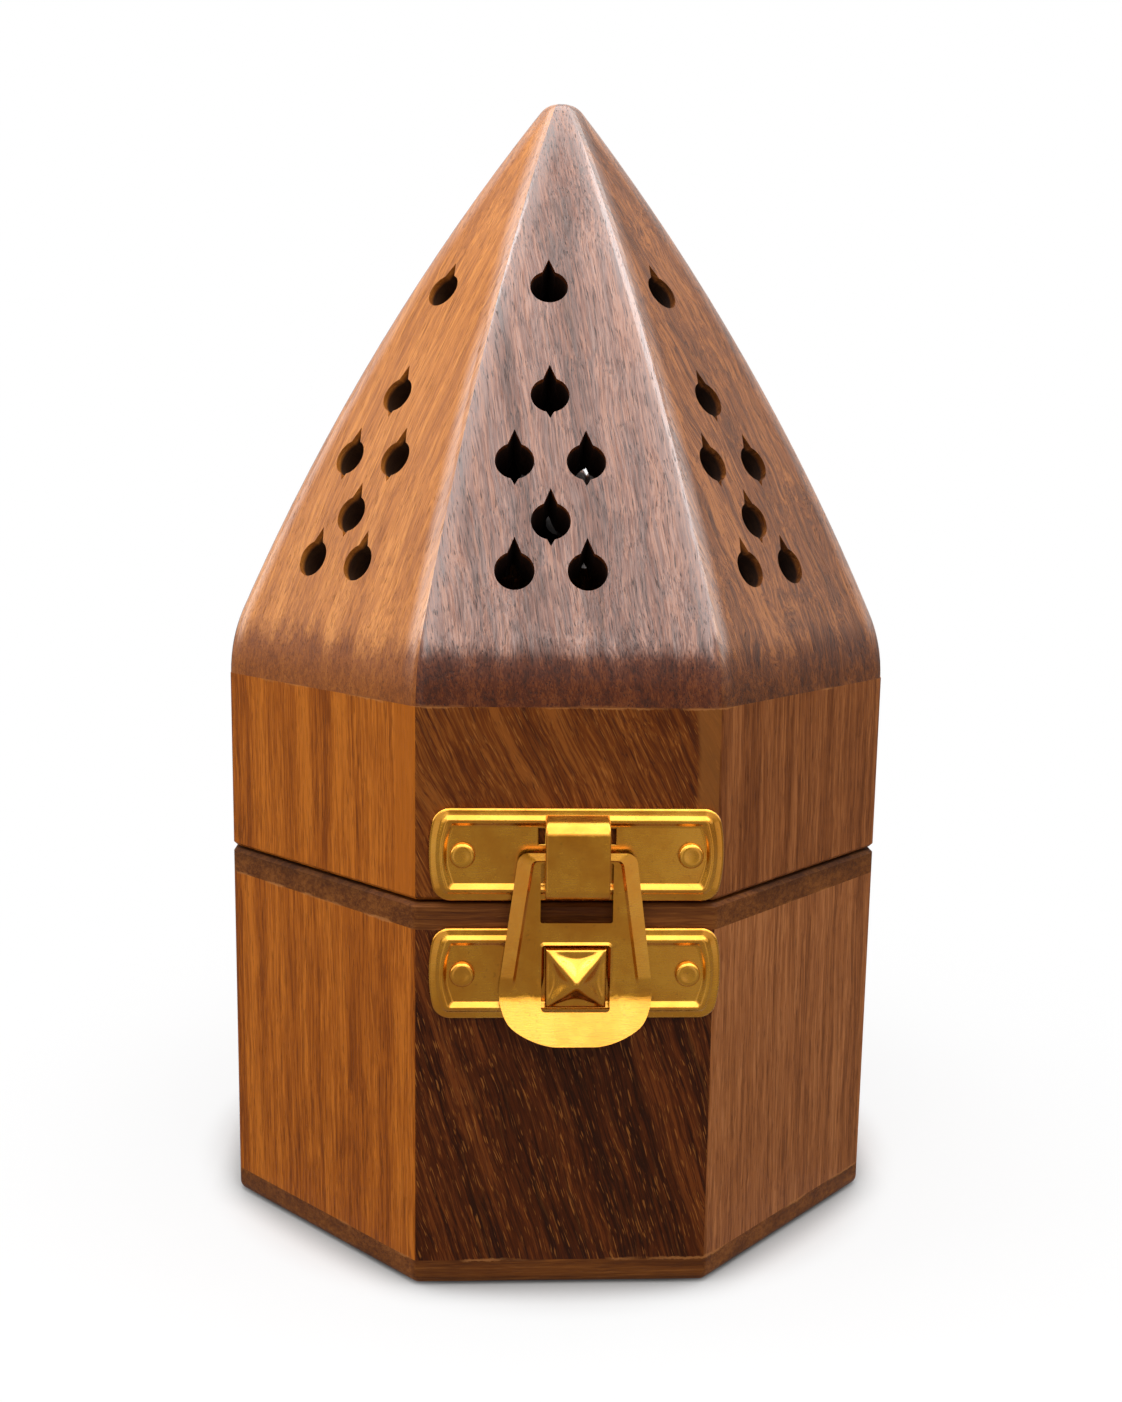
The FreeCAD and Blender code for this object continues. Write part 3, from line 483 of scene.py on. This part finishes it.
# Pins: a short post whose head is rounded by steps inwards and upwards
PIN_HALF_SPACING = 13.85
PIN_RADIUS = 1.55
PIN_DEPTH = 0.7
PIN_MIDDLE = 0.7
PIN_HEAD = ((0.08, 0.14), (0.14, 0.12), (0.2, 0.07), (0.25, 0.0), (0.25, -0.03), (0.25, -0.02))

# Knob: a pinched pyramid over a skirt, whose steps are a spread and a drop
KNOB_HALF = 3.4
KNOB_GRID = 28
KNOB_PINCH = 0.38
KNOB_SOFTNESS = 0.4
KNOB_BASE = 2.6
KNOB_PEAK = 2.25
KNOB_FLANK_SHARE, KNOB_RIDGE_SHARE = 0.84, 0.16
KNOB_FLANK_POWER = 0.85
KNOB_RIDGE_SPREAD = 0.3
KNOB_RIDGE_RISE = 4
KNOB_SKIRT = ((1.05, 0.08), (1.035, 0.2), (1.0, 1.75))

# Hasp: right halves of its outlines from top to bottom, as across, up and the corner's rounding
HASP_BORDER = ((7.1, 0.65, 1.2), (9.75, -19.2, 3.4), (5.4, -22.85, 3.2))
HASP_BROW = ((5.5, -0.2, 0.7), (7.9, -16.9, 0.7), (5.5, -17.2, 0.4), (5.2, -20.3, 0.6))
HASP_FLOOR = ((5.2, -0.45, 0.5), (7.5, -16.5, 0.6), (5.1, -16.8, 0.35), (4.9, -19.95, 0.5))
HASP_WINDOW = ((4.4, -0.62, 0.3), (4.4, -8.1, 0.3))
CATCH_LIP = ((4.5, -10.5, 0.7), (4.5, -19.35, 0.7))
CATCH_HOLE = ((4.2, -10.8, 0.5), (4.2, -19.1, 0.5))
BORDER_RISE, BROW_RISE, FLOOR_RISE, HOLE_RISE = 0.2, 0.45, 0.1, 0.32
HASP_REACH = 2.05
HASP_SHEET = 0.6
HASP_CORNER_CUTS = 8
LIP_START = 17.0
LIP_SLOPE = 0.47
LIP_BEND = 0.3
BROW_FADE = 2.2
LIP_CUTS = 19
LIP_FIRST_CUT = -14.8
LIP_CUT_STEP = 0.45

# Finish of every latch piece
MERGE_DISTANCE = 0.001
EDGE_SEGMENTS = 3
EDGE_ANGLE = math.radians(60)

lower_plate_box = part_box("latch_lower_plate")
wall_front = lower_plate_box[1].y
latch_middle = (lower_plate_box[0].x + lower_plate_box[1].x) / 2
lower_plate_height = (lower_plate_box[0].z + lower_plate_box[1].z) / 2
upper_plate_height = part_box("latch_upper_plate")[1].z - PLATE_HALF_HEIGHT * MM


def on_the_wall(height, out=0.0):
    return (Matrix.Translation((latch_middle, wall_front - out * MM, height))
            @ Matrix.Rotation(QUARTER_TURN, 4, "X") @ Matrix.Scale(MM, 4))


def only(kind, geom):
    return [part for part in geom if isinstance(part, kind)]


def cut_sheet(shape, corners, height, segments):
    """A flat face from its corners, each rounded by its own amount."""
    before = set(shape.faces)
    spots = [(shape.verts.new((x, y, height)), rounding) for x, y, rounding in corners]
    shape.faces.new([spot for spot, _ in spots])
    for amount in sorted({rounding for _, rounding in spots}):
        alike = [spot for spot, rounding in spots if rounding == amount]
        bmesh.ops.bevel(shape, geom=alike, offset=amount, offset_type="OFFSET", affect="VERTICES",
                        segments=segments, profile=0.5, material=-1)
    return next(face for face in shape.faces if face not in before)


def outline_rings(shape, outlines, segments):
    """The edges of each outline at its own height, left without faces."""
    sheets = [cut_sheet(shape, corners, height, segments) for corners, height in outlines]
    rings = [list(sheet.edges) for sheet in sheets]
    bmesh.ops.delete(shape, geom=sheets, context="FACES_ONLY")
    return rings


def press(shape, face, steps):
    """Insets one after the other, each raised or sunk."""
    for inset, rise in steps:
        bmesh.ops.inset_region(shape, faces=[face], thickness=inset, depth=rise,
                               use_even_offset=True, use_boundary=True)


def both_sides(corners):
    """Mirrors the corners of a right half, given from top to bottom, to the left."""
    return list(corners) + [(-x, y, rounding) for x, y, rounding in reversed(corners)]


def face_outwards(shape):
    """Turns an open sheet's faces out of the wall."""
    bmesh.ops.recalc_face_normals(shape, faces=shape.faces)
    if sum(face.normal.z * face.calc_area() for face in shape.faces) < 0:
        bmesh.ops.reverse_faces(shape, faces=shape.faces)


def new_object(name, shape):
    mesh = bpy.data.meshes.new(name)
    shape.to_mesh(mesh)
    shape.free()
    made = bpy.data.objects.new(name, mesh)
    bpy.context.scene.collection.objects.link(made)
    return made


def latch_piece(name, shape, place, body, *replaced, sheet=0.0, edge=0.1, crease=40):
    """A piece of latch brass, with its sheet's thickness, rounded edge and creases."""
    bmesh.ops.remove_doubles(shape, verts=shape.verts, dist=MERGE_DISTANCE)
    bmesh.ops.transform(shape, matrix=place, verts=shape.verts)
    shape.edges.index_update()
    rim = [line.index for line in shape.edges if line.is_boundary]
    piece = new_object(name, shape)
    mesh = piece.data
    for face in mesh.polygons:
        face.use_smooth = True
    mesh.set_sharp_from_angle(angle=math.radians(crease))
    for index in rim:
        mesh.edges[index].use_edge_sharp = True
    mesh.materials.append(bpy.data.materials["latch brass"])
    if sheet:
        thickness = piece.modifiers.new("sheet", "SOLIDIFY")
        thickness.thickness = sheet * MM
        thickness.offset = -1
    if sheet and edge:
        rounding = piece.modifiers.new("edge", "BEVEL")
        rounding.width = edge * MM
        rounding.segments = EDGE_SEGMENTS
        rounding.limit_method = "ANGLE"
        rounding.angle_limit = EDGE_ANGLE
    flats = piece.modifiers.new("flat faces", "WEIGHTED_NORMAL")
    flats.keep_sharp = True
    flats.weight = 100
    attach(piece, body)
    if replaced:
        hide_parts(*replaced)


def plate_outline(inset):
    """The plate's outline with bowed ends, drawn in by an inset."""
    reach = PLATE_CORNER_REACH - inset
    end = PLATE_HALF_WIDTH - inset
    high = PLATE_HALF_HEIGHT - inset
    corner = max(LEAST_CORNER, PLATE_CORNER - inset)
    bow = PLATE_BOW_SHARE * high
    return [(reach, high, corner), (-reach, high, corner), (-end, 0, bow),
            (-reach, -high, corner), (reach, -high, corner), (end, 0, bow)]


def plate_blank(shape):
    """The bowed plate with its edge, raised bead and sunk floor; returns the floor."""
    inset, height = 0.0, PLATE_EDGE
    outlines = [(plate_outline(inset), 0.0), (plate_outline(inset), height)]
    for step, rise in PLATE_BEAD:
        inset += step
        height += rise
        outlines.append((plate_outline(inset), height))
    *raised, (floor_outline, floor_height) = outlines
    rings = outline_rings(shape, raised, PLATE_CORNER_CUTS)
    floor = cut_sheet(shape, floor_outline, floor_height, PLATE_CORNER_CUTS)
    rings.append(list(floor.edges))
    for outer, inner in zip(rings, rings[1:]):
        bmesh.ops.bridge_loops(shape, edges=outer + inner)
    face_outwards(shape)
    return floor


def pierce_slots(shape, floor):
    """Two open slots beside the strap's root."""
    slot_end = STRAP_HALF_WIDTH + SLOT_WIDTH
    cuts = [((side * x, 0, 0), (1, 0, 0)) for side in (-1, 1) for x in (STRAP_HALF_WIDTH, slot_end)]
    cuts += [((0, y, 0), (0, 1, 0)) for y in (SLOT_FOOT, SLOT_TOP)]
    pieces = [floor]
    for spot, way in cuts:
        geom = set(pieces)
        for face in pieces:
            geom.update(face.edges)
            geom.update(face.verts)
        cut = bmesh.ops.bisect_plane(shape, geom=list(geom), plane_co=spot, plane_no=way)["geom"]
        pieces = only(bmesh.types.BMFace, cut)
    slots = []
    for face in pieces:
        middle = face.calc_center_median()
        if SLOT_FOOT < middle.y < SLOT_TOP and STRAP_HALF_WIDTH < abs(middle.x) < slot_end:
            slots.append(face)
    bmesh.ops.delete(shape, geom=slots, context="FACES")


def add_strap():
    """The upper plate's tongue: up from the top bead, over the hasp and curled back at its foot."""
    shape = bmesh.new()
    spots = [shape.verts.new((-STRAP_HALF_WIDTH, y, z)) for y, z in STRAP_PATH]
    path = [shape.edges.new(pair) for pair in zip(spots, spots[1:])]
    strip = bmesh.ops.extrude_edge_only(shape, edges=path)["geom"]
    bmesh.ops.translate(shape, verts=only(bmesh.types.BMVert, strip), vec=(2 * STRAP_HALF_WIDTH, 0, 0))
    bends = [edge for edge in shape.edges if len(edge.link_faces) == 2]
    bmesh.ops.bevel(shape, geom=bends, offset=STRAP_BEND, offset_type="OFFSET", affect="EDGES",
                    segments=10, profile=0.5, material=-1)
    face_outwards(shape)
    latch_piece("folded_strap", shape, on_the_wall(upper_plate_height), "lid",
                sheet=STRAP_SHEET, edge=STRAP_EDGE)


def add_upper_plate():
    shape = bmesh.new()
    pierce_slots(shape, plate_blank(shape))
    latch_piece("pressed_upper_plate", shape, on_the_wall(upper_plate_height), "lid", "latch_upper_plate",
                sheet=PLATE_SHEET)


def add_lower_plate():
    shape = bmesh.new()
    plate_blank(shape)
    latch_piece("pressed_lower_plate", shape, on_the_wall(lower_plate_height), "box", "latch_lower_plate",
                sheet=PLATE_SHEET)


def add_pins(name, height, body, replaced):
    """Two pins with flat heads and round shoulders."""
    shape = bmesh.new()
    for side in (-1, 1):
        pin = bmesh.ops.create_cone(shape, cap_ends=True, segments=32, radius1=PIN_RADIUS,
                                    radius2=PIN_RADIUS, depth=PIN_DEPTH)["verts"]
        bmesh.ops.translate(shape, verts=pin, vec=(side * PIN_HALF_SPACING, 0, PIN_MIDDLE))
        faces = {face for spot in pin for face in spot.link_faces}
        head = max(faces, key=lambda face: face.calc_center_median().z)
        press(shape, head, PIN_HEAD)
    latch_piece(name, shape, on_the_wall(height), body, replaced)


def knob_rise(x, y):
    """The pyramid's height: hollow flanks that fall away from pinched ridges over the diagonals."""
    reach = KNOB_HALF * math.sqrt(2)
    tip = 2 * KNOB_SOFTNESS ** KNOB_PINCH
    corner = reach ** KNOB_PINCH + KNOB_SOFTNESS ** KNOB_PINCH
    along = math.hypot((x + y) / math.sqrt(2), KNOB_SOFTNESS)
    across = math.hypot((x - y) / math.sqrt(2), KNOB_SOFTNESS)
    share = max(0.0, (corner - along ** KNOB_PINCH - across ** KNOB_PINCH) / (corner - tip))
    off_ridge = min(along, across) - KNOB_SOFTNESS
    ridge = math.exp(-off_ridge ** 2 / KNOB_RIDGE_SPREAD) * min(1.0, KNOB_RIDGE_RISE * share)
    return KNOB_PEAK * (KNOB_FLANK_SHARE * share ** KNOB_FLANK_POWER + KNOB_RIDGE_SHARE * ridge)


def add_knob():
    """A square stud drawn up into a pyramid with hollow sides and pinched ridges."""
    shape = bmesh.new()
    bmesh.ops.create_grid(shape, x_segments=KNOB_GRID, y_segments=KNOB_GRID, size=KNOB_HALF)
    for spot in shape.verts:
        spot.co.z = KNOB_BASE + knob_rise(spot.co.x, spot.co.y)
    inside = [spot for spot in shape.verts if not spot.is_boundary]
    bmesh.ops.smooth_vert(shape, verts=inside, factor=0.5, use_axis_z=True)
    edges = [edge for edge in shape.edges if edge.is_boundary]
    for spread, drop in KNOB_SKIRT:
        skirt = bmesh.ops.extrude_edge_only(shape, edges=edges)["geom"]
        rim = only(bmesh.types.BMVert, skirt)
        bmesh.ops.scale(shape, vec=(spread, spread, 1), verts=rim)
        bmesh.ops.translate(shape, vec=(0, 0, -drop), verts=rim)
        edges = [edge for edge in only(bmesh.types.BMEdge, skirt) if edge.is_boundary]
    bmesh.ops.edgeloop_fill(shape, edges=edges)
    latch_piece("drawn_catch_knob", shape, on_the_wall(lower_plate_height), "box", "catch_knob", crease=70)


def flare_lip(shape):
    """Fades the brow out towards the foot and bends the foot out of the wall."""
    for step in range(LIP_CUTS):
        level = LIP_FIRST_CUT - step * LIP_CUT_STEP
        bmesh.ops.bisect_plane(shape, geom=shape.verts[:] + shape.edges[:] + shape.faces[:],
                               plane_co=(0, level, 0), plane_no=(0, 1, 0))
    for spot in shape.verts:
        past = -LIP_START - spot.co.y
        spot.co.z = FLOOR_RISE + (spot.co.z - FLOOR_RISE) * min(1.0, max(0.0, -past / BROW_FADE))
        if past > 0:
            spot.co.z += LIP_SLOPE * past ** 2 / (past + LIP_BEND)


def add_hasp():
    """The swinging plate: a raised border, a sunk panel with window and catch hole, and a flared lip."""
    shape = bmesh.new()
    outlines = ((HASP_BORDER, BORDER_RISE), (HASP_BROW, BROW_RISE), (HASP_FLOOR, FLOOR_RISE),
                (HASP_WINDOW, FLOOR_RISE), (CATCH_LIP, FLOOR_RISE), (CATCH_HOLE, HOLE_RISE))
    border, brow, floor, window, lip, hole = outline_rings(
        shape, [(both_sides(corners), height) for corners, height in outlines], HASP_CORNER_CUTS)
    bmesh.ops.bridge_loops(shape, edges=border + brow)
    bmesh.ops.bridge_loops(shape, edges=brow + floor)
    bmesh.ops.bridge_loops(shape, edges=lip + hole)
    bmesh.ops.triangle_fill(shape, use_beauty=True, edges=floor + window + lip, normal=(0, 0, 1))
    flare_lip(shape)
    face_outwards(shape)
    latch_piece("pressed_hasp", shape, on_the_wall(upper_plate_height, HASP_REACH), "hasp", "hasp",
                sheet=HASP_SHEET, edge=0.0, crease=28)


def add_latch():
    add_upper_plate()
    add_strap()
    add_pins("upper_flat_pins", upper_plate_height, "lid", "upper_plate_pins")
    add_lower_plate()
    add_pins("lower_flat_pins", lower_plate_height, "box", "lower_plate_pins")
    add_knob()
    add_hasp()


# Studio

# Camera, fitted to the burner's edges in the photograph
IMAGE_HEIGHT_PIXELS = 1402
FOCAL_PIXELS = 1528.2
SENSOR = 36.0
CAMERA_PLACE = Vector((1.213, -224.416, 105.519)) * MM
CAMERA_PITCH = math.radians(9.5)
CAMERA_YAW = math.radians(2.864)
CAMERA_ROLL = math.radians(0.9)


def add_camera():
    """The burner stands turned a little from the camera, so the camera goes round it by that much."""
    camera = bpy.data.objects.new("camera", bpy.data.cameras.new("camera"))
    bpy.context.scene.collection.objects.link(camera)
    camera.data.sensor_width = SENSOR
    camera.data.lens = SENSOR * FOCAL_PIXELS / IMAGE_HEIGHT_PIXELS
    camera.data.clip_start = 10 * MM
    camera.matrix_world = (Matrix.Rotation(-CAMERA_YAW, 4, "Z") @ Matrix.Translation(CAMERA_PLACE)
                           @ Matrix.Rotation(QUARTER_TURN - CAMERA_PITCH, 4, "X")
                           @ Matrix.Rotation(CAMERA_ROLL, 4, "Z"))
    bpy.context.scene.camera = camera


def seen_directly(shader):
    """1 for rays from the camera, from gloss and through glass; 0 for the light between surfaces."""
    camera, gloss, glass = [shader.node("ShaderNodeLightPath", out=name)
                            for name in ("Is Camera Ray", "Is Glossy Ray", "Is Transmission Ray")]
    seen = camera + gloss + glass
    return seen.math("MINIMUM", seen, 1.0)


# Floor: half its width in metres, other lengths in millimetres; GLOW is how much of its white is its own
FLOOR_HALF = 3.0
FLOOR_SINK = 0.02
FLOOR_WHITE = (0.8, 0.8, 0.8, 1)
FLOOR_BOUNCE = (0.42, 0.41, 0.40, 1)
NOOK_SHADE = (0.03, 0.025, 0.02, 1)
NOOK_REACH = 5
GLOW_UNDER, GLOW_CLOSE, GLOW_FAR = 0.05, 0.75, 0.2
CLOSE_RING = (45.5, 54)
FAR_RING = (54, 160)


def add_floor():
    """A white floor: most of its white is its own, so that the shadow on it stays faint."""
    shape = bmesh.new()
    bmesh.ops.create_grid(shape, size=FLOOR_HALF)
    floor = new_object("floor", shape)
    floor.location.z = -FLOOR_SINK * MM
    material, shader = new_shader("floor white")
    seen = seen_directly(shader)
    # Painted shade: for rays that see the floor directly, it is darkened where it meets the burner, by
    # ambient occlusion
    open_air = shader.node("ShaderNodeAmbientOcclusion", {"samples": 8},
                           {"Distance": NOOK_REACH * MM}, "AO")
    shaded = shader.mix(1 - open_air, FLOOR_WHITE, NOOK_SHADE)
    paint = shader.node("ShaderNodeBsdfDiffuse", None, {"Color": shader.mix(seen, FLOOR_BOUNCE, shaded)})
    away = shader.distance(shader.object_place())
    share = GLOW_UNDER + away.between(*CLOSE_RING) * GLOW_CLOSE + away.between(*FAR_RING) * GLOW_FAR
    white = shader.emission((1, 1, 1, 1))
    shader.finish(shader.node("ShaderNodeMixShader", None, {0: seen * share, 1: paint, 2: white}))
    floor.data.materials.append(material)


# Dim room: its radius and height in metres, other lengths in millimetres
ROOM_RADIUS, ROOM_HEIGHT = 0.28, 0.13
TABLE_OPENING_SHARE = 0.18
TABLE_LIFT = 0.3
REAR_DROP = 0.45
REAR_START = 1.4
TABLE_GLOOM = (0.4, 0.36, 0.3, 1)
WALL_GLOOM = (0.15, 0.13, 0.1, 1)
WINDOW_LIGHT = (0.9, 0.85, 0.8, 1)
GLOOM_HEIGHTS = (0, 120)
WINDOW_START, WINDOW_END = (-12, 16), (80, 124)
WINDOW_SLANT = 0.18
WINDOW_FRONT = (-220, -120)


def room_shape():
    """A round wall that is lower behind, on a table with an opening for the burner."""
    shape = bmesh.new()
    bmesh.ops.create_cone(shape, cap_ends=False, segments=96, radius1=ROOM_RADIUS,
                          radius2=ROOM_RADIUS, depth=ROOM_HEIGHT)
    bmesh.ops.translate(shape, verts=shape.verts, vec=(0, 0, ROOM_HEIGHT / 2))
    foot = [edge for edge in shape.edges if all(spot.co.z < MM for spot in edge.verts)]
    table = bmesh.ops.extrude_edge_only(shape, edges=foot)["geom"]
    opening = only(bmesh.types.BMVert, table)
    bmesh.ops.scale(shape, vec=(TABLE_OPENING_SHARE, TABLE_OPENING_SHARE, 1), verts=opening)
    bmesh.ops.translate(shape, vec=(0, 0, TABLE_LIFT * MM), verts=shape.verts)
    for spot in shape.verts:
        behind = min(1.0, max(0.0, REAR_START + spot.co.y / ROOM_RADIUS))
        spot.co.z *= 1 - REAR_DROP * behind
    return shape


def add_dim_room():
    """The dim room and table round the burner, seen only in reflections."""
    room = new_object("dim_room", room_shape())
    room.visible_camera = False
    room.visible_diffuse = False
    room.visible_shadow = False
    room.visible_transmission = False
    material, shader = new_shader("dim room")
    here = shader.object_place()
    sideways = abs(shader.axis(here, "X")) + shader.axis(here, "Y") * WINDOW_SLANT
    windows = sideways.between(*WINDOW_START) * (1 - sideways.between(*WINDOW_END))
    windows = windows * (1 - shader.axis(here, "Y").between(*WINDOW_FRONT))
    gloom = shader.mix(shader.axis(here, "Z").between(*GLOOM_HEIGHTS), TABLE_GLOOM, WALL_GLOOM)
    shader.finish(shader.emission(shader.mix(windows, gloom, WINDOW_LIGHT)))
    room.data.materials.append(material)


# World and lamps: places, aims and sizes in metres; strip lights are seen by gloss alone
AMBIENT = 0.22
BURNER_MIDDLE = (0, 0, 0.07)
SPIRE_MIDDLE = (0, 0, 0.1)
HASP_FRONT = (0, -0.045, 0.045)
UNDER_OVERHEAD = (0, -0.32, 0)
Lamp = namedtuple("Lamp", "name place aim width height radiance gloss_only")
LAMPS = [
    Lamp("overhead softbox", (0, -0.32, 0.68), UNDER_OVERHEAD, 1.0, 1.25, 2.3, False),
    Lamp("left softbox", (-0.62, -0.02, 0.36), BURNER_MIDDLE, 0.5, 0.5, 2.2, False),
    Lamp("right softbox", (0.62, -0.02, 0.4), BURNER_MIDDLE, 0.4, 0.4, 1.6, False),
    Lamp("right strip light", (0.325, -0.184, 0.57), SPIRE_MIDDLE, 0.3, 0.55, 3.2, True),
    Lamp("front strip light", (0, -0.82, 0.51), HASP_FRONT, 0.8, 0.17, 2.5, True),
    Lamp("left strip light", (-0.325, -0.184, 0.57), SPIRE_MIDDLE, 0.06, 0.55, 6.0, True),
]


def add_world():
    world = bpy.data.worlds.new("studio")
    world.use_nodes = True
    bpy.context.scene.world = world
    shader = Shader(world.node_tree)
    strength = AMBIENT + seen_directly(shader) * (1 - AMBIENT)
    light = shader.node("ShaderNodeBackground", None, {"Color": (1, 1, 1, 1), "Strength": strength})
    shader.node("ShaderNodeOutputWorld", None, {"Surface": light})


def add_lamp(lamp):
    """A lit rectangle that shines with its radiance at its aim."""
    light = bpy.data.lights.new(lamp.name, "AREA")
    light.shape = "RECTANGLE"
    light.size = lamp.width
    light.size_y = lamp.height
    light.energy = lamp.radiance * math.pi * lamp.width * lamp.height
    lit = bpy.data.objects.new(lamp.name, light)
    lit.location = lamp.place
    lit.rotation_mode = "QUATERNION"
    lit.rotation_quaternion = (Vector(lamp.aim) - Vector(lamp.place)).to_track_quat("-Z", "Y")
    lit.visible_diffuse = not lamp.gloss_only
    bpy.context.scene.collection.objects.link(lit)


def add_studio():
    add_camera()
    add_floor()
    add_dim_room()
    add_world()
    for lamp in LAMPS:
        add_lamp(lamp)
    bpy.context.scene.view_settings.view_transform = "Standard"


dress_staves()
dress_boards()
dress_metal()
add_latch()
add_studio()
